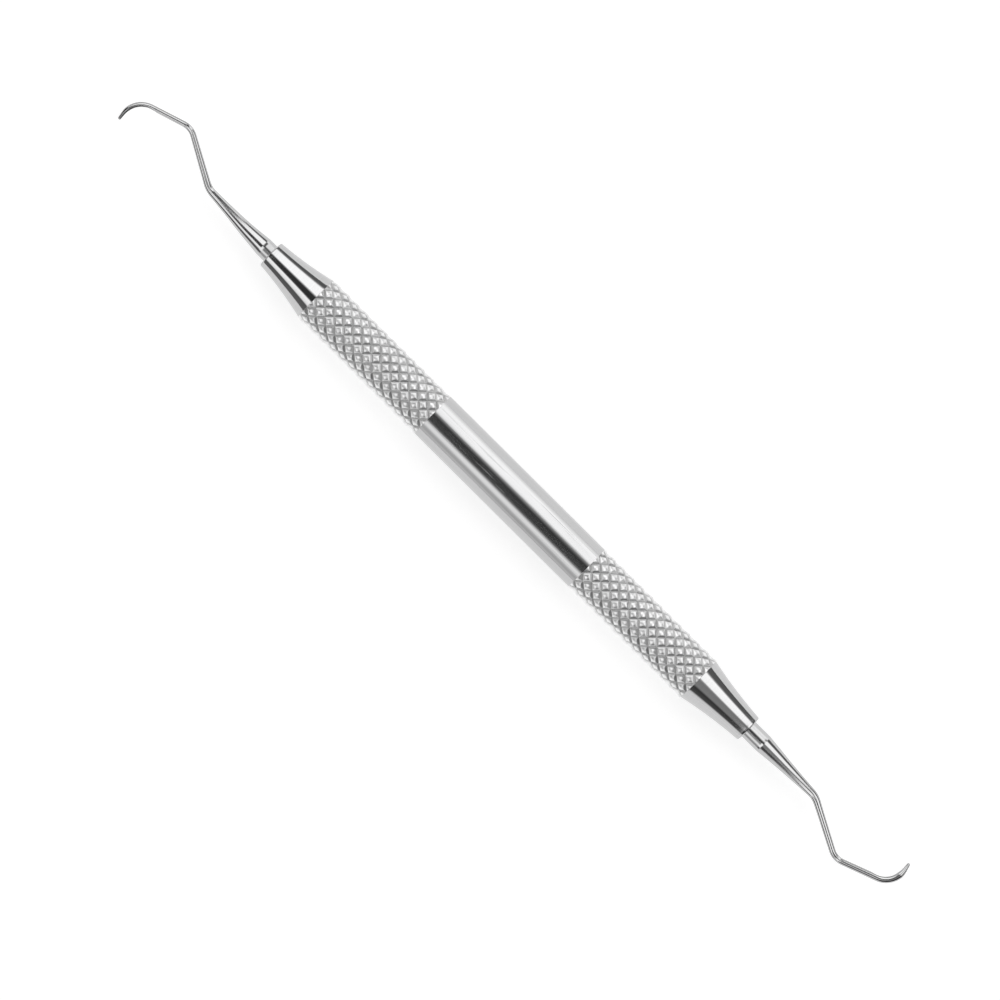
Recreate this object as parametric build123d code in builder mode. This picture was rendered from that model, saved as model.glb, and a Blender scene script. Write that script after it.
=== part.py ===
from build123d import *
from dataclasses import dataclass
from itertools import pairwise
import os

# Double-ended hand scaler in stainless steel: a hollow handle tube with two knurled grip bands,
# a turned ferrule pressed into each end of the tube, and a one-piece working end pressed into
# each ferrule. A working end is a straight tang, a tapered shank, two bends and a curved blade.
#
# Frame: +X runs along the handle, the hooked ends lie in the XY plane, +Z is up, and the origin
# is on the handle's axis, in the middle of its smooth grip. All sizes are in millimetres.
# Each half is made pointing along +X, and the left one is then turned by 180 degrees about Z.

# ---------------------------------------------------------------- handle tube
handle_diameter = 8.0
tube_bore = 6.4
smooth_length = 33.4
knurl_diameter = 7.6  # a plain cylinder that lies between the knurl's crests and its grooves
tube_edge = 0.2

# ---------------------------------------------------------------- ferrules
nose = 51.85  # from the middle of the handle to the ferrule's front face
shoulder_diameter = 7.8
nose_diameter = 4.7
flare_hollow = 0.2  # how far the flare's outline dips below a straight cone
nose_round = 0.25
spigot_length = 9.0
spigot_lead_in = 0.4
bore_lead_in = 0.12

# ---------------------------------------------------------------- working ends
tang_diameter = 3.1
tang_length = 12.0
tang_lead_in = 0.4
taper_length = 14.8
taper_power = 1.6  # above 1, the taper is quick at first and slow near the bends
neck_diameter = 1.1  # where the taper ends
toe_diameter = 0.56
toe_taper = 2.0  # stretch over which the blade narrows to the toe
blade_length = 7.0  # ground face, measured back from the toe along the curve
heel_length = 0.7
face_share = 0.8  # ground face above the bar's axis, as a share of the bar's radius
face_points = 8  # even steps of the ground face's outline
grind_reach = 1.2  # the grinding cut's height above the bar's axis

# The shank's route has a slight sway in the taper, two bends and a last wide curve, the knee.
sway = (5.5, 0.0)
sway_radius = 60.0
first_bend_radius = 4.0
second_bend_radius = 3.0
knee_radius = 3.5


@dataclass
class End:
    """What differs between the two ends. Route points are measured from the ferrule's nose."""

    side: str
    turn: float
    knurl_length: float
    collar_length: float  # straight stretch before the taper begins
    waist_diameter: float  # at the second bend
    heel_diameter: float  # where the ground face begins
    blade_diameter: float  # where the blade begins to narrow to the toe
    first_bend: tuple
    second_bend: tuple
    knee: tuple
    toe: tuple

    @property
    def tube_end(self):
        return smooth_length / 2 + self.knurl_length


# The shanks are ground and bent by hand and the grips are cut by eye, so the two ends are not
# quite equal: the right one is stouter.
left = End(
    side="left",
    turn=180,
    knurl_length=25.3,
    collar_length=1.6,
    waist_diameter=0.93,
    heel_diameter=0.88,
    blade_diameter=0.86,
    first_bend=(13.75, -0.38),
    second_bend=(22.37, -5.16),
    knee=(31.67, -2.24),
    toe=(31.2, 1.53),
)
right = End(
    side="right",
    turn=0,
    knurl_length=24.2,
    collar_length=3.2,
    waist_diameter=1.0,
    heel_diameter=1.04,
    blade_diameter=1.16,
    first_bend=(14.6, -0.13),
    second_bend=(23.45, -4.78),
    knee=(32.76, -1.34),
    toe=(32.14, 2.5),
)
ends = [left, right]


def blend(value_a, value_b, share):
    """Go straight from one value to another as share goes from 0 to 1."""
    return value_a + (value_b - value_a) * share


class Bar:
    """The round bar that a working end is bent from, along its route in the XY plane."""

    def __init__(self, end):
        route_points = [(0, 0), sway, end.first_bend, end.second_bend, end.knee, end.toe]
        with BuildLine() as route:
            FilletPolyline(
                *[(nose + x, y) for x, y in route_points],
                radius=[sway_radius, first_bend_radius, second_bend_radius, knee_radius],
            )
        self.route = route.wire()
        self.legs = self.route.order_edges()
        self.leg_ends = [sum(leg.length for leg in self.legs[: n + 1]) for n in range(len(self.legs))]
        self.length = self.leg_ends[-1]
        self.collar_length = end.collar_length
        self.taper_end = end.collar_length + taper_length
        self.heel = self.length - blade_length
        self.stations = [
            (self.taper_end, neck_diameter),
            (self.leg_ends[5], end.waist_diameter),
            (self.heel, end.heel_diameter),
            (self.length - toe_taper, end.blade_diameter),
            (self.length, toe_diameter),
        ]

    def radius(self, distance):
        """Radius of the bar at a distance from the ferrule's nose."""
        if distance <= self.collar_length:
            return tang_diameter / 2
        if distance <= self.taper_end:
            to_go = (self.taper_end - distance) / taper_length
            return blend(neck_diameter, tang_diameter, to_go**taper_power) / 2
        stretch = sum(distance > station for station, _ in self.stations[1:-1])
        (start, diameter), (stop, next_diameter) = self.stations[stretch : stretch + 2]
        return blend(diameter, next_diameter, (distance - start) / (stop - start)) / 2

    def place(self, distance):
        """Point on the route."""
        return self.route.position_at(distance, PositionMode.LENGTH)

    def along(self, distance):
        """Direction of the route."""
        return self.route.tangent_at(distance, PositionMode.LENGTH)

    def beside(self, distance, offset):
        """Point beside the route, on the inner side of the blade's curve."""
        along = self.along(distance)
        return self.place(distance) + Vector(-along.Y, along.X) * offset

    def section(self, distance):
        """Round section of the bar, square to the route."""
        plane = Plane(self.place(distance), x_dir=(0, 0, 1), z_dir=self.along(distance))
        with BuildSketch(plane) as section:
            Circle(self.radius(distance))
        return section.sketch

    def stretch(self, start, stop, steps):
        """Loft one stretch of the bar through evenly spaced sections."""
        loft([self.section(blend(start, stop, step / steps)) for step in range(steps + 1)])

    def curved(self, distance):
        """Say whether the route is curved at a distance from the ferrule's nose."""
        leg = self.legs[sum(distance > leg_end for leg_end in self.leg_ends)]
        return leg.geom_type == GeomType.CIRCLE

    def shaft(self):
        """Loft the whole bar from the nose to the toe, in stretches of one leg and one taper."""
        stations = [station for station, _ in self.stations]
        marks = sorted({0, self.collar_length, *self.leg_ends, *stations})
        for start, stop in pairwise(marks):
            tapers = self.collar_length < stop <= self.taper_end
            steps = 6 if self.curved((start + stop) / 2) else 4 if tapers else 1
            self.stretch(start, stop, steps)
        with Locations(self.place(self.length)):
            Sphere(toe_diameter / 2)

    def face_outline(self):
        """Draw the side outline of the grinding cut that leaves the blade's face."""
        start = self.heel + heel_length
        steps = [blend(start, self.length, step / face_points) for step in range(face_points + 1)]
        past_toe = self.along(self.length) * toe_diameter
        ground = [self.beside(at, self.radius(at) * face_share) for at in steps]
        clear = [self.beside(at, grind_reach) for at in reversed(steps)]
        Spline(*ground)
        Polyline(
            ground[-1],
            ground[-1] + past_toe,
            clear[0] + past_toe,
            *clear,
            self.beside(self.heel, grind_reach),
            self.beside(self.heel, self.radius(self.heel)),
            ground[0],
        )


def finish(piece, node, turn=0):
    """Turn a piece to its end of the handle, label it and write it."""
    with BuildPart() as placed:
        add(piece.part, rotation=(0, 0, turn))
    placed.part.label = node
    export_step(placed.part, f"parts/{node}.step")


os.makedirs("parts", exist_ok=True)

# ================================================================ handle tube
tube_length = left.tube_end + right.tube_end

with BuildPart() as handle_tube:
    with BuildSketch(Plane.YZ.offset(-left.tube_end)):
        Circle(knurl_diameter / 2)
    extrude(amount=tube_length)
    with BuildSketch(Plane.YZ.offset(-smooth_length / 2)):
        Circle(handle_diameter / 2)
    extrude(amount=smooth_length)
    with BuildSketch(Plane.YZ.offset(-left.tube_end)):
        Circle(tube_bore / 2)
    extrude(amount=tube_length, mode=Mode.SUBTRACT)
    tube_faces = handle_tube.faces().sort_by(Axis.X)
    end_rims = tube_faces[0].edges() + tube_faces[-1].edges()
    chamfer(end_rims.filter_by(lambda rim: rim.radius > tube_bore / 2 + tube_edge), tube_edge)

handle_tube.part.label = "handle_tube"
export_step(handle_tube.part, "parts/handle_tube.step")

# ================================================================ ferrules
for end in ends:
    spigot_end = end.tube_end - spigot_length
    flare_middle = (
        (end.tube_end + nose) / 2,
        (shoulder_diameter + nose_diameter) / 4 - flare_hollow,
    )

    with BuildPart() as ferrule:
        with BuildSketch(Plane.XY):
            with BuildLine():
                ThreePointArc(
                    (end.tube_end, shoulder_diameter / 2),
                    flare_middle,
                    (nose, nose_diameter / 2),
                )
                Polyline(
                    (nose, nose_diameter / 2),
                    (nose, 0),
                    (spigot_end, 0),
                    (spigot_end, tube_bore / 2),
                    (end.tube_end, tube_bore / 2),
                    (end.tube_end, shoulder_diameter / 2),
                )
            make_face()
        revolve(axis=Axis.X)
        rims = ferrule.edges().filter_by(GeomType.CIRCLE).sort_by(Axis.X)
        fillet(rims[-1], radius=nose_round)
        chamfer(rims[0], length=spigot_lead_in)
        with BuildSketch(Plane.YZ.offset(nose)):
            Circle(tang_diameter / 2)
        extrude(amount=-tang_length, mode=Mode.SUBTRACT)
        nose_face = ferrule.faces().filter_by(GeomType.PLANE).sort_by(Axis.X)[-1]
        chamfer(nose_face.edges().sort_by(SortBy.LENGTH)[0], length=bore_lead_in)

    finish(ferrule, f"{end.side}_ferrule", end.turn)

# ================================================================ working ends
for end in ends:
    bar = Bar(end)

    with BuildPart() as working_end:
        with BuildSketch(Plane.YZ.offset(nose - tang_length)):
            Circle(tang_diameter / 2)
        extrude(amount=tang_length)
        chamfer(working_end.edges().sort_by(Axis.X)[0], length=tang_lead_in)
        bar.shaft()
        with BuildSketch(Plane.XY):
            with BuildLine():
                bar.face_outline()
            make_face()
        extrude(amount=tang_diameter, both=True, mode=Mode.SUBTRACT)

    finish(working_end, f"{end.side}_working_end", end.turn)
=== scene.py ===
import logging
import math
from contextlib import contextmanager
from dataclasses import dataclass
from enum import Enum
from itertools import pairwise
from typing import Callable, Iterator

import bmesh
import bpy
from mathutils import Matrix, Vector


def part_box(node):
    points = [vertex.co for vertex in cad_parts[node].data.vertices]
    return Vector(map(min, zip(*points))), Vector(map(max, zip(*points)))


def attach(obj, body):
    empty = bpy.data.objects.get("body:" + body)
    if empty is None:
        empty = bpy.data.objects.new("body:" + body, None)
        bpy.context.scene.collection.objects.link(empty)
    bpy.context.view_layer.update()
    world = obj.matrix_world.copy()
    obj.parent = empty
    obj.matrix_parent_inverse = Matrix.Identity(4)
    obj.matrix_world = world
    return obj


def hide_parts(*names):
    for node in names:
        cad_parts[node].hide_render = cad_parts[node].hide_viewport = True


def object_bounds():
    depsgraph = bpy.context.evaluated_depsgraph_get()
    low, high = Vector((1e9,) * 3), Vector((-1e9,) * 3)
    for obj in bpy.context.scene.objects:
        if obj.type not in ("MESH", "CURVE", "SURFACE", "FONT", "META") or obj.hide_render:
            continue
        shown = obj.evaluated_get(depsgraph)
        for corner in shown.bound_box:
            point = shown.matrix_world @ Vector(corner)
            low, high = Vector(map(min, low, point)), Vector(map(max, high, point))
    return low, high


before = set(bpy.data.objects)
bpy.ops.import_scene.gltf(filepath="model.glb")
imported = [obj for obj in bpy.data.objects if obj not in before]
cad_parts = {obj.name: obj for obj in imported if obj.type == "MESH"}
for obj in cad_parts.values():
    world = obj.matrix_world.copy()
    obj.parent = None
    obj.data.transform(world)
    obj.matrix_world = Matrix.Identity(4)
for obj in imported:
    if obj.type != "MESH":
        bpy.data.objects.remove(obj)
CAD_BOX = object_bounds()

MM = 0.001
BODY = "root"
WELD = 1e-6  # points closer than this are the same point
CREASE = 32  # faces that meet at more than this many degrees keep a sharp edge
QUARTER_TURN = math.pi / 2
STRAIGHT = "straight"  # the attribute that holds where a point was before the bar was bent
log = logging.getLogger("hand_scaler")


class Side(Enum):
    """The two ends of the handle."""

    LEFT = "left"
    RIGHT = "right"

    @property
    def sign(self) -> int:
        """Which way this end points along the handle's axis."""
        return 1 if self is Side.RIGHT else -1

    def reach(self, node: str) -> tuple[float, float]:
        """Measure how far a CAD node lies from the middle of the handle, towards this end.

        Args:
            node: The CAD node.

        Returns:
            The distances of its inner and its outer end.
        """
        low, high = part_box(node)
        return (low.x, high.x) if self is Side.RIGHT else (-high.x, -low.x)


# =============================================================================
# Working in edit mode
# =============================================================================


class Pick(Enum):
    """The kind of element that a selection is made of."""

    VERTICES = "VERT"
    EDGES = "EDGE"
    FACES = "FACE"


def let_go() -> None:
    """Go back to object mode and deselect everything."""
    if bpy.context.mode != "OBJECT":
        bpy.ops.object.mode_set(mode="OBJECT")
    bpy.ops.object.select_all(action="DESELECT")


class Stock:
    """A mesh object on the bench, shaped with edit-mode operators."""

    def __init__(self, name: str) -> None:
        """Take the primitive that was just added and fix its place in its mesh.

        Args:
            name: The name that the object gets.
        """
        self.object = bpy.context.active_object
        self.object.name = name
        self.object.data.name = name
        bpy.ops.object.transform_apply(location=True, rotation=True, scale=True)

    def hold(self) -> None:
        """Make this the only selected object."""
        let_go()
        self.object.select_set(True)
        bpy.context.view_layer.objects.active = self.object

    @contextmanager
    def bench(self) -> Iterator[bmesh.types.BMesh]:
        """Work on the mesh in edit mode.

        Returns:
            The edit mesh, for reading places and for selecting.
        """
        self.hold()
        bpy.ops.object.mode_set(mode="EDIT")
        bpy.ops.mesh.select_mode(type=Pick.VERTICES.value)
        yield bmesh.from_edit_mesh(self.object.data)
        bpy.ops.object.mode_set(mode="OBJECT")

    def pick(self, kind: Pick, test: Callable) -> None:
        """Select, in edit mode, the elements that pass a test.

        Args:
            kind: What is selected.
            test: Says of each vertex, edge or face whether it is selected.
        """
        bpy.ops.mesh.select_mode(type=kind.value)
        bpy.ops.mesh.select_all(action="DESELECT")
        sheet = bmesh.from_edit_mesh(self.object.data)
        kinds = {Pick.VERTICES: sheet.verts, Pick.EDGES: sheet.edges, Pick.FACES: sheet.faces}
        for element in kinds[kind]:
            element.select_set(bool(test(element)))
        sheet.select_flush_mode()
        bmesh.update_edit_mesh(self.object.data)

    def pick_rim(self, x: float) -> None:
        """Select the open rims that lie square to the handle's axis.

        Args:
            x: Where the rims are along the axis.
        """
        self.pick(
            Pick.EDGES,
            lambda edge: edge.is_boundary and all(abs(v.co.x - x) < WELD for v in edge.verts),
        )

    def weld(self) -> None:
        """Merge doubled vertices and turn every face outwards."""
        with self.bench():
            bpy.ops.mesh.select_all(action="SELECT")
            bpy.ops.mesh.remove_doubles(threshold=WELD)
            bpy.ops.mesh.normals_make_consistent(inside=False)

    def modify(self, kind: str, **settings: object) -> None:
        """Add a modifier with its settings and apply it.

        Args:
            kind: The modifier's type.
            settings: Its properties.
        """
        self.hold()
        modifier = self.object.modifiers.new(kind.title(), kind)
        for key, value in settings.items():
            setattr(modifier, key, value)
        bpy.ops.object.modifier_apply(modifier=modifier.name)

    def join(self, *others: "Stock") -> None:
        """Join other pieces of stock into this one.

        Args:
            others: The pieces that become part of it.
        """
        self.hold()
        for other in others:
            other.object.select_set(True)
        bpy.ops.object.join()

    def turn_to(self, side: Side) -> None:
        """Carry a piece that was made for the right end to the end where it belongs.

        Args:
            side: The end where it belongs.
        """
        if side is Side.RIGHT:
            return
        with self.bench():
            bpy.ops.mesh.select_all(action="SELECT")
            bpy.ops.transform.rotate(value=math.pi, orient_axis="Z", center_override=(0, 0, 0))

    def shade(self) -> None:
        """Shade smooth and keep sharp edges sharp."""
        self.hold()
        bpy.ops.object.shade_smooth_by_angle(angle=math.radians(CREASE))


def turned(name: str, rings: list[tuple[float, float]], sides: int) -> Stock:
    """Turn an open shell about the handle's axis by extruding a circle ring by ring.

    Args:
        name: The object's name.
        rings: The place along the axis and the radius of each ring, in order.
        sides: How many sides a ring has.

    Returns:
        The shell, open at both ends.
    """
    let_go()
    x, radius = rings[0]
    bpy.ops.mesh.primitive_circle_add(
        vertices=sides, radius=radius, location=(x, 0, 0), rotation=(0, QUARTER_TURN, 0)
    )
    stock = Stock(name)
    with stock.bench():
        bpy.ops.mesh.select_all(action="SELECT")
        for (x, radius), (next_x, next_radius) in pairwise(rings):
            bpy.ops.mesh.extrude_region_move(TRANSFORM_OT_translate={"value": (next_x - x, 0, 0)})
            scale = next_radius / radius
            bpy.ops.transform.resize(value=(1, scale, scale), center_override=(next_x, 0, 0))
    return stock


def blend(value_a: float, value_b: float, share: float) -> float:
    """Go straight from one value to another as share goes from 0 to 1."""
    return value_a + (value_b - value_a) * share


# =============================================================================
# Shader nodes
# =============================================================================


class Signal:
    """A node's value output that Python's operators turn into Math nodes."""

    def __init__(self, sheet: "NodeSheet", socket: bpy.types.NodeSocket) -> None:
        """Wrap an output socket of a node sheet."""
        self.sheet = sheet
        self.socket = socket

    def math(self, operation: str, *others: "Signal | float", first: bool = True) -> "Signal":
        """Add a Math node.

        Args:
            operation: The node's operation.
            others: The other operands.
            first: Whether this signal is the first operand or the last.

        Returns:
            The node's output.
        """
        operands = [self, *others] if first else [*others, self]
        settings = {"operation": operation}
        return self.sheet.node("ShaderNodeMath", settings, dict(enumerate(operands)))

    def __add__(self, other: "Signal | float") -> "Signal":
        """Add."""
        return self.math("ADD", other)

    __radd__ = __add__

    def __sub__(self, other: "Signal | float") -> "Signal":
        """Subtract."""
        return self.math("SUBTRACT", other)

    def __rsub__(self, other: float) -> "Signal":
        """Subtract from a number."""
        return self.math("SUBTRACT", other, first=False)

    def __mul__(self, other: "Signal | float") -> "Signal":
        """Multiply."""
        return self.math("MULTIPLY", other)

    __rmul__ = __mul__

    def __truediv__(self, other: "Signal | float") -> "Signal":
        """Divide."""
        return self.math("DIVIDE", other)

    def __pow__(self, other: float) -> "Signal":
        """Raise to a power."""
        return self.math("POWER", other)

    def span(self, low: float, high: float, to_low: float = 0, to_high: float = 1) -> "Signal":
        """Map a range of values smoothly to another range and clamp it there."""
        return self.sheet.node(
            "ShaderNodeMapRange",
            {"interpolation_type": "SMOOTHSTEP"},
            {"Value": self, "From Min": low, "From Max": high, "To Min": to_low, "To Max": to_high},
        )


class NodeSheet:
    """The node tree of a material or of the world."""

    def __init__(self, tree: bpy.types.NodeTree) -> None:
        """Start with an empty tree."""
        self.tree = tree
        tree.nodes.clear()

    def node(
        self, kind: str, settings: dict | None = None, values: dict | None = None, out: object = 0
    ) -> Signal:
        """Add a node.

        Args:
            kind: The node's type.
            settings: Its properties, set before its sockets. A ramp's stops are a list of
                places and brightnesses under the name stops.
            values: What goes into its sockets, by name or number: signals or plain values.
            out: The name or number of the output that is returned.

        Returns:
            The chosen output.
        """
        made = self.tree.nodes.new(kind)
        for key, value in (settings or {}).items():
            if key == "stops":
                self.set_stops(made.color_ramp, value)
            else:
                setattr(made, key, value)
        for key, value in (values or {}).items():
            if isinstance(value, Signal):
                self.tree.links.new(value.socket, made.inputs[key])
            else:
                made.inputs[key].default_value = value
        return Signal(self, made.outputs[out] if made.outputs else None)

    @staticmethod
    def set_stops(ramp: bpy.types.ColorRamp, stops: list[tuple[float, float]]) -> None:
        """Give a ramp its stops.

        Args:
            ramp: The ramp.
            stops: For each stop its place, from 0 to 1, and its brightness.
        """
        while len(ramp.elements) < len(stops):
            ramp.elements.new(1.0)
        for element, (place, brightness) in zip(ramp.elements, stops):
            element.position = place
            element.color = (brightness, brightness, brightness, 1)

    def stretched(self, place: Signal, scale: tuple[float, float, float]) -> Signal:
        """Scale a place by a different amount along each axis."""
        return self.node("ShaderNodeVectorMath", {"operation": "MULTIPLY"}, {0: place, 1: scale})

    def noise(self, place: Signal, pitch: tuple[float, float, float], detail: float = 3) -> Signal:
        """Add noise.

        Args:
            place: Where it is read.
            pitch: The size of its bumps along each axis, in millimetres.
            detail: How many finer layers it has.

        Returns:
            Values from 0 to 1, mostly near the middle.
        """
        scale = tuple(1 / (size * MM) for size in pitch)
        return self.node(
            "ShaderNodeTexNoise",
            None,
            {
                "Vector": self.stretched(place, scale),
                "Scale": 1.0,
                "Detail": detail,
                "Roughness": 0.6,
            },
        )

    def grey(self, brightness: Signal) -> Signal:
        """Turn a brightness into a grey colour."""
        channels = dict.fromkeys(("Red", "Green", "Blue"), brightness)
        return self.node("ShaderNodeCombineColor", None, channels)

    def axes(self, vector: Signal) -> tuple[Signal, Signal, Signal]:
        """Split a vector into its three numbers."""
        split = self.node("ShaderNodeSeparateXYZ", None, {0: vector}).socket.node
        return tuple(Signal(self, split.outputs[axis]) for axis in "XYZ")


# =============================================================================
# Finishes
# =============================================================================


@dataclass(frozen=True)
class Grooves:
    """The knurl's grooves: how deep they lie, how much their colour is darkened there by painted
    shade and by the oil and dirt that gather in them, and how dull they are.
    """

    top: float  # radius at which a groove's wall begins to darken
    floor: float  # radius at which it is darkest
    # how much painted shade, together with dirt, darkens the floor of a groove
    shade_and_dirt_darkening: float = 0.24
    dulling: float = 0.12

    def mask(self, sheet: NodeSheet) -> Signal:
        """Find how deep in a groove a point is.

        Args:
            sheet: The material's node sheet.

        Returns:
            The depth, from 0 on the crests to 1 on the floor.
        """
        _, y, z = sheet.axes(sheet.node("ShaderNodeTexCoord", out="Object"))
        radius = (y * y + z * z) ** 0.5
        return radius.span(self.top, self.floor)


@dataclass(frozen=True)
class SteelFinish:
    """A stainless steel surface with fine marks that run one way."""

    name: str
    tone: tuple[float, float, float]
    roughness: float
    roughness_swing: float
    mark_pitch: tuple[float, float, float]  # in millimetres, long along the marks
    mark_depth: float  # in millimetres
    scratch_share: float = 1.0
    scratch_darkening: float = 0.10
    scratch_dulling: float = 0.12
    streak_darkening: float = 0.12
    stain_darkening: float = 0.05
    clean_tint: float = 1.04
    stain_size: float = 7.0  # in millimetres
    grain_size: float = 0.35  # in millimetres
    grain_share: float = 0.15
    bump_strength: float = 0.35
    grooves: Grooves | None = None
    along_bar: bool = False

    def material(self) -> bpy.types.Material:
        """Make the material.

        Returns:
            The material, with its grain, scratches, stains and bump worked out in nodes.
        """
        made = bpy.data.materials.new(self.name)
        made.use_nodes = True
        sheet = NodeSheet(made.node_tree)
        place = self.place(sheet)
        marks = sheet.noise(place, self.mark_pitch)
        streaks = sheet.noise(place, tuple(2.5 * pitch for pitch in self.mark_pitch))
        stains = sheet.noise(place, (self.stain_size,) * 3, detail=2)
        grain = sheet.noise(place, (self.grain_size,) * 3, detail=4)
        scratches = self.scratch_share * marks.span(0.60, 0.72)
        tint = (
            self.clean_tint
            - self.stain_darkening * stains
            - self.streak_darkening * streaks
            - self.scratch_darkening * scratches
        )
        rough = (
            self.roughness
            + self.roughness_swing * (stains - 0.5)
            + 0.5 * self.roughness_swing * (grain - 0.5)
            + self.scratch_dulling * scratches
        )
        if self.grooves:
            depth = self.grooves.mask(sheet)
            # painted shade and dirt: the colour darkens the deeper a point lies in a groove
            tint = tint * (1 - self.grooves.shade_and_dirt_darkening * depth)
            rough = rough + self.grooves.dulling * depth
        colour = sheet.node(
            "ShaderNodeMix",
            {"data_type": "RGBA", "blend_type": "MULTIPLY"},
            {0: 1.0, 6: (*self.tone, 1), 7: sheet.grey(tint)},
            out=2,
        )
        bump = sheet.node(
            "ShaderNodeBump",
            None,
            {
                "Strength": self.bump_strength,
                "Distance": self.mark_depth * MM,
                "Height": marks + self.grain_share * grain,
            },
        )
        shader = sheet.node(
            "ShaderNodeBsdfPrincipled",
            None,
            {"Base Color": colour, "Metallic": 1.0, "Roughness": rough, "Normal": bump},
        )
        sheet.node("ShaderNodeOutputMaterial", None, {"Surface": shader})
        return made

    def place(self, sheet: NodeSheet) -> Signal:
        """Find where a point is.

        Args:
            sheet: The material's node sheet.

        Returns:
            Its place in the object, or along the bar before it was bent.
        """
        if self.along_bar:
            return sheet.node("ShaderNodeAttribute", {"attribute_name": STRAIGHT}, out="Vector")
        return sheet.node("ShaderNodeTexCoord", out="Object")


# =============================================================================
# The handle
# =============================================================================


@dataclass
class KnurlBand:
    """A band of male diamonds, cut by two sets of grooves that cross."""

    side: Side
    inner_end: float
    length: float
    crest_radius: float
    half_periods: int  # half diamonds along the band
    starts: int = 12  # diamonds round the band
    steps: tuple[tuple[float, float], ...] = (  # width and rise of each step up to the crest
        (0.24 * MM, 0.14 * MM),
        (0.19 * MM, 0.08 * MM),
        (0.16 * MM, 0.04 * MM),
        (0.08 * MM, 0.01 * MM),
    )

    @property
    def depth(self) -> float:
        """Depth of the grooves below the crests."""
        return sum(rise for _, rise in self.steps)

    def build(self) -> Stock:
        """Model one diamond, repeat it in a flat sheet, trim the sheet and roll it up.

        Returns:
            The band, open at both ends, at its place on the handle.
        """
        across = 2 * self.length / self.half_periods
        around = 2 * math.pi * self.crest_radius / self.starts
        band = self.diamond(across, around)
        with band.bench():
            bpy.ops.mesh.select_all(action="SELECT")
            step = (across / 2, 0, around / 2)
            bpy.ops.mesh.duplicate_move(TRANSFORM_OT_translate={"value": step})
        for offset, count in (
            ((across, 0, 0), self.half_periods // 2 + 1),
            ((0, 0, around), self.starts + 1),
        ):
            band.modify(
                "ARRAY",
                count=count,
                use_relative_offset=False,
                use_constant_offset=True,
                constant_offset_displace=offset,
            )
        band.weld()
        self.trim(band, around)
        band.modify("SIMPLE_DEFORM", deform_method="BEND", deform_axis="X", angle=2 * math.pi)
        with band.bench():
            bpy.ops.mesh.select_all(action="SELECT")
            bpy.ops.transform.translate(value=(0, -self.crest_radius, 0))
        band.weld()
        band.turn_to(self.side)
        return band

    def diamond(self, across: float, around: float) -> Stock:
        """Model one diamond: a rhombus, inset and raised step by step to a rounded crest.

        Args:
            across: Its width along the handle.
            around: Its width round the handle.

        Returns:
            The diamond in a flat sheet, with its crest at y = 0 and its edges below it.
        """
        let_go()
        bpy.ops.mesh.primitive_circle_add(
            vertices=4,
            radius=1,
            fill_type="NGON",
            location=(self.inner_end, 0, 0),
            rotation=(QUARTER_TURN, 0, 0),
        )
        diamond = Stock("knurl_band")
        with diamond.bench():
            bpy.ops.mesh.select_all(action="SELECT")
            bpy.ops.transform.resize(
                value=(across / 2, 1, around / 2), center_override=(self.inner_end, 0, 0)
            )
            bpy.ops.transform.translate(value=(0, self.depth, 0))
            for width, rise in self.steps:
                bpy.ops.mesh.inset(thickness=width, depth=0)
                bpy.ops.transform.translate(value=(0, -rise, 0))
        return diamond

    def trim(self, band: Stock, around: float) -> None:
        """Cut the sheet off square at both ends and at both edges of its roll.

        Args:
            band: The flat sheet.
            around: A diamond's width round the handle.
        """
        cuts = (
            ((self.inner_end, 0, 0), (-1, 0, 0)),
            ((self.inner_end + self.length, 0, 0), (1, 0, 0)),
            ((0, 0, 0), (0, 0, -1)),
            ((0, 0, self.starts * around), (0, 0, 1)),
        )
        with band.bench():
            for place, outwards in cuts:
                bpy.ops.mesh.select_all(action="SELECT")
                bpy.ops.mesh.bisect(
                    plane_co=place, plane_no=outwards, clear_outer=True, threshold=WELD / 10
                )


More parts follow.
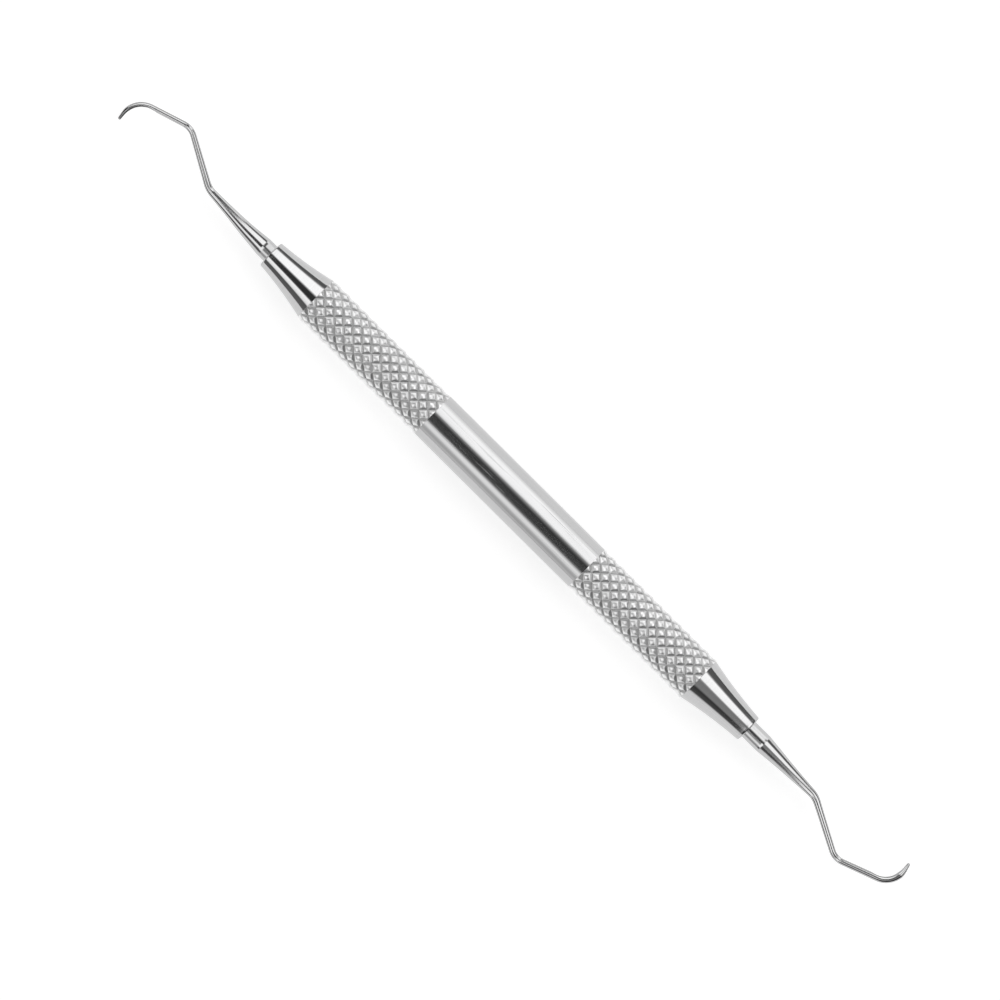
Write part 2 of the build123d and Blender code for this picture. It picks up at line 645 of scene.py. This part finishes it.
@dataclass
class Handle:
    """The hollow tube with a smooth grip between two knurled bands."""

    smooth_length: float = 33.4 * MM
    wall: float = 0.8 * MM
    knurl_drop: float = 0.005 * MM  # how far the crests lie below the grip
    rim_width: float = 0.3 * MM  # flat rim at the tube's ends, inside the knurl
    left_half_periods: int = 25
    right_half_periods: int = 24
    groove_shade: tuple[float, float] = (0.40, 0.95)  # shares of the depth where it deepens
    sides: int = 192

    def __post_init__(self) -> None:
        """Work out the radii and the two bands from the CAD node."""
        self.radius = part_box("handle_tube")[1].z
        self.bore = self.radius - self.wall
        self.half = self.smooth_length / 2
        self.bands = [
            self.band(Side.RIGHT, self.right_half_periods),
            self.band(Side.LEFT, self.left_half_periods),
        ]

    def band(self, side: Side, half_periods: int) -> KnurlBand:
        """Lay out the knurled band at one end of the grip.

        Args:
            side: The end of the handle.
            half_periods: How many half diamonds it has along its length.

        Returns:
            The band.
        """
        length = side.reach("handle_tube")[1] - self.half
        return KnurlBand(side, self.half, length, self.radius - self.knurl_drop, half_periods)

    def build(self) -> Stock:
        """Model the handle as one closed shell.

        Returns:
            The handle, with its bore open at both ends.
        """
        low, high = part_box("handle_tube")
        rim = self.bore + self.rim_width
        grip_rings = [(-self.half, self.radius), (self.half, self.radius)]
        bore_rings = [(low.x, rim), (low.x, self.bore), (high.x, self.bore), (high.x, rim)]
        grip = turned("knurled_handle", grip_rings, self.sides)
        inside = turned("bore", bore_rings, self.sides)
        grip.join(inside, *(band.build() for band in self.bands))
        with grip.bench():
            for x in (low.x, -self.half, self.half, high.x):
                grip.pick_rim(x)
                bpy.ops.mesh.fill()
        grip.weld()
        grip.shade()
        return grip

    def dress(self, grip: Stock) -> None:
        """Give the smooth grip and the knurled bands their finishes.

        Args:
            grip: The handle.
        """
        band = self.bands[0]
        top, floor = (band.crest_radius - share * band.depth for share in self.groove_shade)
        polished = SteelFinish(
            "polished_tube",
            tone=(0.56, 0.56, 0.563),
            roughness=0.085,
            roughness_swing=0.03,
            mark_pitch=(14, 0.22, 0.22),
            mark_depth=0.007,
        )
        knurled = SteelFinish(
            "knurled_steel",
            tone=(0.90, 0.90, 0.90),
            roughness=0.34,
            roughness_swing=0.08,
            mark_pitch=(0.25, 0.25, 0.25),
            mark_depth=0.004,
            scratch_share=0.6,
            grooves=Grooves(top, floor),
        )
        grip.object.data.materials.clear()
        grip.object.data.materials.append(polished.material())
        grip.object.data.materials.append(knurled.material())
        with grip.bench():
            grip.pick(Pick.FACES, self.is_knurled)
            grip.object.active_material_index = 1
            bpy.ops.object.material_slot_assign()

    def is_knurled(self, face: bmesh.types.BMFace) -> bool:
        """Say whether a face of the handle belongs to a knurled band or to the tube's rim."""
        middle = face.calc_center_median()
        return abs(middle.x) > self.half - WELD and middle.yz.length > self.bore + WELD


# =============================================================================
# The ferrules
# =============================================================================


@dataclass
class Ferrule:
    """A flared end piece with a spigot inside the tube and a blind bore for the tang."""

    side: Side
    shoulder_radius: float = 3.9 * MM
    nose_radius: float = 2.35 * MM
    spigot_radius: float = 3.2 * MM
    bore_radius: float = 1.55 * MM
    bore_depth: float = 12.0 * MM
    flare_hollow: float = 0.2 * MM
    nose_round: float = 0.25 * MM
    shoulder_round: float = 0.05 * MM
    spigot_lead_in: float = 0.4 * MM
    bore_lead_in: float = 0.12 * MM
    round_segments: int = 8
    flare_rings: int = 24
    sides: int = 192

    @property
    def node(self) -> str:
        """The CAD node that this piece stands for."""
        return f"{self.side.value}_ferrule"

    def build(self) -> Stock:
        """Turn the ferrule in one go, round its edges and close it.

        Returns:
            The ferrule at its end of the handle.
        """
        spigot_end, nose = self.side.reach(self.node)
        seat = self.side.reach("handle_tube")[1]
        lead = self.spigot_lead_in
        rings = [
            (spigot_end, self.spigot_radius - lead),
            (spigot_end + lead, self.spigot_radius),
            (seat, self.spigot_radius),
            (seat, self.shoulder_radius),
            *self.flare(seat, nose),
            (nose, self.bore_radius + self.bore_lead_in),
            (nose - self.bore_lead_in, self.bore_radius),
            (nose - self.bore_depth, self.bore_radius),
        ]
        piece = turned(f"{self.side.value}_end_ferrule", rings, self.sides)
        with piece.bench():
            for x in (spigot_end, nose - self.bore_depth):
                piece.pick_rim(x)
                bpy.ops.mesh.edge_face_add()
            for x, radius, offset in (
                (nose, self.nose_radius, self.nose_round),
                (seat, self.shoulder_radius, self.shoulder_round),
            ):
                self.round_edge(piece, x, radius, offset)
        piece.weld()
        piece.turn_to(self.side)
        piece.shade()
        return piece

    def flare(self, seat: float, nose: float) -> list[tuple[float, float]]:
        """Lay out the hollow flare as a cone that dips most at its middle.

        Args:
            seat: Where the shoulder meets the tube.
            nose: Where the flare ends.

        Returns:
            The place along the axis and the radius of each ring after the shoulder.
        """
        rings = []
        for step in range(1, self.flare_rings + 1):
            share = step / self.flare_rings
            cone = blend(self.shoulder_radius, self.nose_radius, share)
            dip = self.flare_hollow * 4 * share * (1 - share)
            rings.append((blend(seat, nose, share), cone - dip))
        return rings

    def round_edge(self, piece: Stock, x: float, radius: float, offset: float) -> None:
        """Round one turned edge.

        Args:
            piece: The ferrule.
            x: The edge's place along the axis.
            radius: The edge's radius.
            offset: How wide the rounding is.
        """

        def on_edge(edge: bmesh.types.BMEdge) -> bool:
            """Say whether both ends of an edge lie on the turned edge."""
            return all(
                abs(v.co.x - x) < WELD and abs(v.co.yz.length - radius) < WELD for v in edge.verts
            )

        piece.pick(Pick.EDGES, on_edge)
        bpy.ops.mesh.bevel(offset=offset, segments=self.round_segments, affect="EDGES")

    def dress(self, piece: Stock) -> None:
        """Give the ferrule a bright turned finish with fine rings.

        Args:
            piece: The ferrule.
        """
        finish = SteelFinish(
            "turned_ferrule",
            tone=(0.57, 0.57, 0.573),
            roughness=0.08,
            roughness_swing=0.03,
            mark_pitch=(0.12, 30, 30),
            mark_depth=0.0012,
            scratch_share=0.8,
        )
        piece.object.data.materials.append(finish.material())


# =============================================================================
# The working ends
# =============================================================================


@dataclass
class Leg:
    """A straight run or an arc of a flat route."""

    start: float  # distance along the route
    length: float
    place: Vector
    heading: float
    curvature: float  # 0 on a straight run


class Route:
    """A flat route of straight runs joined by arcs."""

    def __init__(self, corners: list[Vector], radii: tuple[float, ...]) -> None:
        """Round the corners of a zigzag.

        Args:
            corners: Its two ends and the corners between them.
            radii: The radius at each corner.
        """
        runs = [after - before for before, after in pairwise(corners)]
        headings = [math.atan2(run.y, run.x) for run in runs]
        turns = [after - before for before, after in pairwise(headings)]
        cuts = [radius * math.tan(abs(turn) / 2) for radius, turn in zip(radii, turns)]
        self.legs: list[Leg] = []
        self.length = 0.0
        self.end, self.heading = corners[0].copy(), headings[0]
        for index, run in enumerate(runs):
            before = cuts[index - 1] if index else 0
            after = cuts[index] if index < len(cuts) else 0
            self.add(run.length - before - after, 0)
            if index < len(turns):
                radius, turn = radii[index], turns[index]
                self.add(radius * abs(turn), math.copysign(1 / radius, turn))

    def add(self, length: float, curvature: float) -> None:
        """Add a leg at the end of the route.

        Args:
            length: The leg's length.
            curvature: How sharply it turns, with 0 for a straight run.
        """
        leg = Leg(self.length, length, self.end.copy(), self.heading, curvature)
        self.legs.append(leg)
        self.length += length
        self.end, self.heading = self.on_leg(leg, length)

    @staticmethod
    def on_leg(leg: Leg, along: float) -> tuple[Vector, float]:
        """Find a point on a leg.

        Args:
            leg: The leg.
            along: The distance from its start.

        Returns:
            The point and the heading there.
        """
        heading = leg.heading + leg.curvature * along
        if not leg.curvature:
            ahead = Vector((math.cos(heading), math.sin(heading)))
            return leg.place + ahead * along, heading
        swing = Vector(
            (math.sin(heading) - math.sin(leg.heading), math.cos(leg.heading) - math.cos(heading))
        )
        return leg.place + swing / leg.curvature, heading

    def at(self, distance: float) -> tuple[Vector, float]:
        """Find a point on the route, or in line with it beyond either end.

        Args:
            distance: The distance from its start.

        Returns:
            The point and the heading there.
        """
        leg = next((leg for leg in self.legs if distance <= leg.start + leg.length), self.legs[-1])
        return self.on_leg(leg, distance - leg.start)

    def stations(self, run_step: float, turn_step: float) -> list[float]:
        """Distances at which rings are set: widely on the runs, closely on the arcs.

        Args:
            run_step: The distance between rings on a run.
            turn_step: The angle between rings on an arc.

        Returns:
            The distances, from the route's start to its end.
        """
        found = [0.0]
        for leg in self.legs:
            bend = abs(leg.curvature) * leg.length
            steps = max(1, math.ceil(bend / turn_step), math.ceil(leg.length / run_step))
            found += [leg.start + leg.length * step / steps for step in range(1, steps + 1)]
        return found


@dataclass
class WorkingEnd:
    """A tang, a tapered shank with two bends, and a curved blade with a ground face.

    The route's points are in millimetres, measured from the ferrule's nose.
    """

    side: Side
    first_bend: tuple[float, float]
    second_bend: tuple[float, float]
    knee: tuple[float, float]
    toe: tuple[float, float]
    collar_length: float  # straight stretch before the taper
    waist_radius: float  # at the second bend
    heel_radius: float  # where the ground face begins
    blade_radius: float  # where the blade begins to narrow to the toe
    sway: tuple[float, float] = (5.5, 0.0)
    turn_radii: tuple[float, ...] = (60 * MM, 4 * MM, 3 * MM, 3.5 * MM)
    tang_radius: float = 1.55 * MM
    tang_lead_in: float = 0.4 * MM
    taper_length: float = 14.8 * MM
    taper_power: float = 1.6
    neck_radius: float = 0.55 * MM
    toe_radius: float = 0.28 * MM
    toe_taper: float = 2.0 * MM
    blade_length: float = 7.0 * MM
    heel_length: float = 0.7 * MM
    face_share: float = 0.8  # height of the ground face, as a share of the bar's radius
    toe_face_share: float = 0.98  # the same where the face runs out on the rounded toe
    run_step: float = 0.6 * MM
    turn_step: float = math.radians(5)
    shortest_step: float = 0.02 * MM
    heel_steps: tuple[float, ...] = (0.35, 0.7, 1.0)  # shares of the heel
    toe_rings: int = 9
    toe_turn: float = math.radians(84)  # how far the rounded toe goes before its end cap
    back_sides: int = 44
    face_sides: int = 20

    def __post_init__(self) -> None:
        """Lay out the route from the ferrule's nose, and the bar's radius along it."""
        self.tang_start = self.side.reach(self.node)[0]
        self.nose = self.side.reach(f"{self.side.value}_ferrule")[1]
        points = [(0, 0), self.sway, self.first_bend, self.second_bend, self.knee, self.toe]
        corners = [Vector((self.nose + x * MM, y * MM)) for x, y in points]
        self.route = Route(corners, self.turn_radii)
        length = self.route.length
        self.taper_end = self.collar_length + self.taper_length
        self.heel = length - self.blade_length
        after_second_bend = self.route.legs[6].start
        self.marks = [
            (self.taper_end, self.neck_radius),
            (after_second_bend, self.waist_radius),
            (self.heel, self.heel_radius),
            (length - self.toe_taper, self.blade_radius),
            (length, self.toe_radius),
        ]
        self.straight: list[Vector] = []

    @property
    def node(self) -> str:
        """The CAD node that this piece stands for."""
        return f"{self.side.value}_working_end"

    def radius(self, distance: float) -> float:
        """Find how thick the round bar is.

        Args:
            distance: The distance from the ferrule's nose.

        Returns:
            The bar's radius there.
        """
        if distance <= self.collar_length:
            return self.tang_radius
        if distance <= self.taper_end:
            to_go = (self.taper_end - distance) / self.taper_length
            return blend(self.neck_radius, self.tang_radius, to_go**self.taper_power)
        for (start, radius), (stop, next_radius) in pairwise(self.marks):
            if distance <= stop:
                return blend(radius, next_radius, (distance - start) / (stop - start))
        return self.toe_radius

    def section(self, distance: float, radius: float) -> list[Vector]:
        """Outline of the bar's section: a circle, or a circle with its inner side ground flat.

        Args:
            distance: Where the section is, from the ferrule's nose.
            radius: The radius of its round back.

        Returns:
            Its points before the bar is bent: along the bar, towards the inner side, upwards.
        """
        face = self.face_share * self.radius(distance)
        on_blade = distance > self.heel
        edge = math.acos(min(face / radius, self.toe_face_share) if on_blade else self.face_share)
        ground = min(max((distance - self.heel) / self.heel_length, 0), 1)
        limit = blend(radius, min(face, radius), ground)
        angles = [blend(-edge, edge, step / self.face_sides) for step in range(self.face_sides)]
        back = 2 * (math.pi - edge)
        angles += [edge + back * step / self.back_sides for step in range(self.back_sides)]
        return [
            Vector((distance, min(radius * math.cos(angle), limit), radius * math.sin(angle)))
            for angle in angles
        ]

    def bent(self, point: Vector) -> Vector:
        """Carry a point of the straight bar to its place on the bent one.

        Args:
            point: The point: along the bar, towards the inner side, upwards.

        Returns:
            Its place in the instrument's frame.
        """
        place, heading = self.route.at(point.x)
        inwards = Vector((-math.sin(heading), math.cos(heading)))
        return Vector((*(place + inwards * point.y), point.z))

    def rings(self) -> list[list[Vector]]:
        """Lay out the sections of the whole bar.

        Returns:
            The outline of each section in order, from the tang's end to the toe.
        """
        tang = self.tang_start - self.nose
        found = [
            (tang, self.tang_radius - self.tang_lead_in),
            (tang + self.tang_lead_in, self.tang_radius),
        ]
        stations = self.route.stations(self.run_step, self.turn_step)
        stations += [self.collar_length, *(mark for mark, _ in self.marks)]
        stations += [self.heel + self.heel_length * share for share in self.heel_steps]
        for station in sorted(stations):
            if station - found[-1][0] > self.shortest_step:
                found.append((station, self.radius(station)))
        for step in range(1, self.toe_rings + 1):
            angle = self.toe_turn * step / self.toe_rings
            past = self.toe_radius * math.sin(angle)
            found.append((self.route.length + past, self.toe_radius * math.cos(angle)))
        return [self.section(distance, radius) for distance, radius in found]

    def build(self) -> Stock:
        """Extrude the bar ring by ring along its route and close both ends.

        Returns:
            The working end at its end of the handle.
        """
        let_go()
        sides = self.back_sides + self.face_sides
        bpy.ops.mesh.primitive_circle_add(vertices=sides, radius=self.tang_radius)
        piece = Stock(f"{self.side.value}_scaler_tip")
        with piece.bench() as sheet:
            order = list(range(sides))
            for number, ring in enumerate(self.rings()):
                if number:
                    bpy.ops.mesh.extrude_region_move()
                    order = self.extruded(sheet, order)
                else:
                    bpy.ops.mesh.select_all(action="SELECT")
                sheet.verts.ensure_lookup_table()
                for index, point in zip(order, ring):
                    sheet.verts[index].co = self.bent(point)
                    self.straight.append(point)
            bpy.ops.mesh.edge_face_add()
            piece.pick_rim(self.tang_start)
            bpy.ops.mesh.edge_face_add()
            bpy.ops.mesh.select_all(action="SELECT")
            bpy.ops.mesh.normals_make_consistent(inside=False)
        attribute = piece.object.data.attributes.new(STRAIGHT, "FLOAT_VECTOR", "POINT")
        attribute.data.foreach_set("vector", [c for point in self.straight for c in point])
        piece.turn_to(self.side)
        piece.shade()
        return piece

    @staticmethod
    def extruded(sheet: bmesh.types.BMesh, order: list[int]) -> list[int]:
        """Find the new vertices that were extruded from a ring.

        Args:
            sheet: The edit mesh.
            order: The ring's vertices.

        Returns:
            The new ring's vertices in the same order.
        """
        sheet.verts.index_update()
        sheet.verts.ensure_lookup_table()
        found = []
        for index in order:
            old = sheet.verts[index]
            others = (edge.other_vert(old) for edge in old.link_edges)
            found.append(next(other.index for other in others if other.select))
        return found

    def dress(self, piece: Stock) -> None:
        """Give the shank a polished finish and the blade's face a ground one.

        Args:
            piece: The working end.
        """
        mesh = piece.object.data
        polished = SteelFinish(
            "polished_shank",
            tone=(0.55, 0.55, 0.553),
            roughness=0.10,
            roughness_swing=0.04,
            mark_pitch=(9, 0.10, 0.10),
            mark_depth=0.0015,
            along_bar=True,
        )
        ground = SteelFinish(
            "ground_face",
            tone=(0.52, 0.52, 0.523),
            roughness=0.22,
            roughness_swing=0.05,
            mark_pitch=(0.05, 0.8, 4),
            mark_depth=0.002,
            along_bar=True,
        )
        mesh.materials.append(polished.material())
        mesh.materials.append(ground.material())
        straight = mesh.attributes[STRAIGHT].data
        for polygon in mesh.polygons:
            corners = [straight[index].vector for index in polygon.vertices]
            polygon.material_index = int(all(map(self.on_face, corners)))

    def on_face(self, point: Vector) -> bool:
        """Say whether a point of the straight bar lies on the blade's ground face."""
        on_blade = self.heel < point.x <= self.route.length + WELD
        return on_blade and point.y > (self.face_share - 0.01) * self.radius(point.x)


# =============================================================================
# The studio
# =============================================================================


@dataclass(frozen=True)
class Strips:
    """Strips of light and shade along the handle, for surfaces within one range of slopes.

    A surface's slope is how fast it falls away from the handle's axis towards one end.
    """

    side: Side | None  # the end that the surfaces fall away to
    begins: float  # slope at which these strips begin to show
    full: float  # slope from which they alone show
    far: float  # what is left of their brightness on steep surfaces
    stops: tuple[tuple[float, float], ...]  # degrees from straight up towards +Y, brightness


@dataclass
class Studio:
    """A pale floor, soft light all round in strips, and the camera."""

    frame_width: float = 153.85 * MM
    camera_turn: float = 44.83
    camera_distance: float = 1.2
    sensor: float = 36.0
    look_at: tuple[float, float] = (-0.12 * MM, -1.97 * MM)
    floor_size: float = 8.0
    floor_tone: float = 0.45
    floor_roughness: float = 0.9
    floor_glow: float = 0.74
    backdrop: float = 0.93
    strength: float = 1.72
    steep: tuple[float, float] = (0.28, 0.36)  # slopes between which the strips fade
    strips: tuple[Strips, ...] = (
        Strips(
            None, 0.0, 0.0, 1.0,
            (
                (-180, 0.60), (-94, 0.42), (-90, 0.36), (-84, 0.50), (-71, 0.35), (-62, 0.42),
                (-52, 0.71), (-43, 0.75), (-36, 0.46), (-30, 0.125), (-23, 0.03), (3, 0.03),
                (10, 0.10), (17, 0.27), (22, 0.75), (30, 0.96), (66, 1.0), (80, 0.71),
                (92, 0.50), (180, 0.60),
            ),
        ),
        Strips(
            Side.LEFT, 0.022, 0.042, 1.0,
            (
                (-180, 0.60), (-94, 0.10), (-62, 0.08), (-54, 0.85), (-4, 0.95), (3, 0.05),
                (62, 0.06), (70, 0.60), (84, 0.90), (100, 0.60), (180, 0.60),
            ),
        ),
        Strips(
            Side.RIGHT, 0.022, 0.042, 1.0,
            (
                (-180, 0.60), (-94, 0.08), (-68, 0.06), (-58, 0.90), (-12, 1.0), (-5, 0.05),
                (16, 0.05), (22, 0.70), (36, 0.75), (44, 0.20), (56, 0.20), (64, 0.75),
                (84, 0.80), (96, 0.70), (180, 0.60),
            ),
        ),
        Strips(
            Side.LEFT, 0.090, 0.096, 0.45,
            (
                (-180, 0.60), (-94, 0.55), (-88, 0.10), (-58, 0.08), (-52, 0.75), (-30, 0.95),
                (-25, 0.12), (-21, 0.025), (3, 0.03), (8, 0.30), (14, 1.0), (58, 1.0),
                (66, 0.20), (72, 0.08), (92, 0.10), (98, 0.60), (180, 0.60),
            ),
        ),
        Strips(
            Side.RIGHT, 0.090, 0.096, 0.12,
            (
                (-180, 0.60), (-76, 0.60), (-70, 0.45), (-64, 0.06), (-38, 0.03), (-33, 0.12),
                (-28, 0.19), (0, 0.17), (6, 0.25), (12, 0.95), (48, 1.0), (54, 0.30),
                (60, 0.09), (94, 0.08), (100, 0.60), (180, 0.60),
            ),
        ),
    )

    def floor(self) -> bpy.types.Object:
        """Lay a pale floor under the handle.

        Returns:
            The floor.
        """
        let_go()
        bpy.ops.mesh.primitive_plane_add(size=self.floor_size, location=(0, 0, CAD_BOX[0].z))
        made = bpy.context.active_object
        made.name = "floor"
        material = bpy.data.materials.new("pale_floor")
        material.use_nodes = True
        sheet = NodeSheet(material.node_tree)
        shader = sheet.node(
            "ShaderNodeBsdfPrincipled",
            None,
            {
                "Base Color": (*(self.floor_tone,) * 3, 1),
                "Roughness": self.floor_roughness,
                "Emission Color": (1, 1, 1, 1),
                "Emission Strength": self.floor_glow,
            },
        )
        sheet.node("ShaderNodeOutputMaterial", None, {"Surface": shader})
        made.data.materials.append(material)
        return made

    def light(self) -> None:
        """Surround the object with soft light, in strips that run along the handle."""
        world = bpy.data.worlds.new("studio")
        bpy.context.scene.world = world
        world.use_nodes = True
        sheet = NodeSheet(world.node_tree)
        x, y, z = sheet.axes(sheet.node("ShaderNodeTexCoord", out="Generated"))
        lean = y.math("ARCTAN2", z)
        slope = x / (2 * (lean / 2).math("COSINE"))
        ramp_place = lean / (2 * math.pi) + 0.5
        strips = None
        for part in self.strips:
            stops = [(angle / 360 + 0.5, brightness) for angle, brightness in part.stops]
            shown = sheet.node("ShaderNodeValToRGB", {"stops": stops}, {0: ramp_place})
            if strips is None:
                strips = shown
                continue
            falling = slope * part.side.sign
            shown = sheet.node(
                "ShaderNodeVectorMath",
                {"operation": "SCALE"},
                {0: shown, "Scale": falling.span(*self.steep, 1, part.far)},
            )
            strips = sheet.node(
                "ShaderNodeMix",
                {"data_type": "RGBA"},
                {0: falling.span(part.begins, part.full), 6: strips, 7: shown},
                out=2,
            )
        lit = {"Color": strips, "Strength": self.strength}
        plain = {"Color": (*(self.backdrop,) * 3, 1), "Strength": 1.0}
        light, backdrop = (
            sheet.node("ShaderNodeBackground", None, values) for values in (lit, plain)
        )
        seen = sheet.node("ShaderNodeLightPath", out="Is Camera Ray")
        mixed = sheet.node("ShaderNodeMixShader", None, {0: seen, 1: light, 2: backdrop})
        sheet.node("ShaderNodeOutputWorld", None, {"Surface": mixed})

    def camera(self) -> bpy.types.Object:
        """Stand the camera straight above the handle, turned so that the handle lies aslant.

        Returns:
            The camera.
        """
        lens = bpy.data.cameras.new("camera")
        lens.sensor_width = self.sensor
        lens.lens = self.sensor * self.camera_distance / self.frame_width
        lens.clip_end = 4 * self.camera_distance
        made = bpy.data.objects.new("camera", lens)
        bpy.context.scene.collection.objects.link(made)
        above = Matrix.Translation((*self.look_at, self.camera_distance))
        made.matrix_world = above @ Matrix.Rotation(math.radians(self.camera_turn), 4, "Z")
        bpy.context.scene.camera = made
        return made

    def build(self) -> None:
        """Set up the floor, the light, the camera and the plain colour response."""
        self.floor()
        self.light()
        self.camera()
        bpy.context.scene.view_settings.view_transform = "Standard"


# =============================================================================
# The whole instrument
# =============================================================================


def install(piece: Stock, node: str) -> None:
    """Put a finished piece into the instrument.

    Args:
        piece: The piece, in place.
        node: The CAD node that it stands for.
    """
    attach(piece.object, BODY)
    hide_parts(node)
    log.info("%s stands for %s, %d faces", piece.object.name, node, len(piece.object.data.polygons))


def main() -> None:
    """Build the hand scaler piece by piece, then the studio."""
    logging.basicConfig(level=logging.INFO, format="%(name)s: %(message)s")

    handle = Handle()
    grip = handle.build()
    handle.dress(grip)
    install(grip, "handle_tube")

    for ferrule in (Ferrule(Side.LEFT), Ferrule(Side.RIGHT)):
        piece = ferrule.build()
        ferrule.dress(piece)
        install(piece, ferrule.node)

    left = WorkingEnd(
        Side.LEFT,
        first_bend=(13.75, -0.38),
        second_bend=(22.37, -5.16),
        knee=(31.67, -2.24),
        toe=(31.2, 1.53),
        collar_length=1.6 * MM,
        waist_radius=0.465 * MM,
        heel_radius=0.44 * MM,
        blade_radius=0.43 * MM,
    )
    right = WorkingEnd(
        Side.RIGHT,
        first_bend=(14.6, -0.13),
        second_bend=(23.45, -4.78),
        knee=(32.76, -1.34),
        toe=(32.14, 2.5),
        collar_length=3.2 * MM,
        waist_radius=0.50 * MM,
        heel_radius=0.52 * MM,
        blade_radius=0.58 * MM,
    )
    for working_end in (left, right):
        piece = working_end.build()
        working_end.dress(piece)
        install(piece, working_end.node)

    Studio().build()
    let_go()


if __name__ == "__main__":
    main()
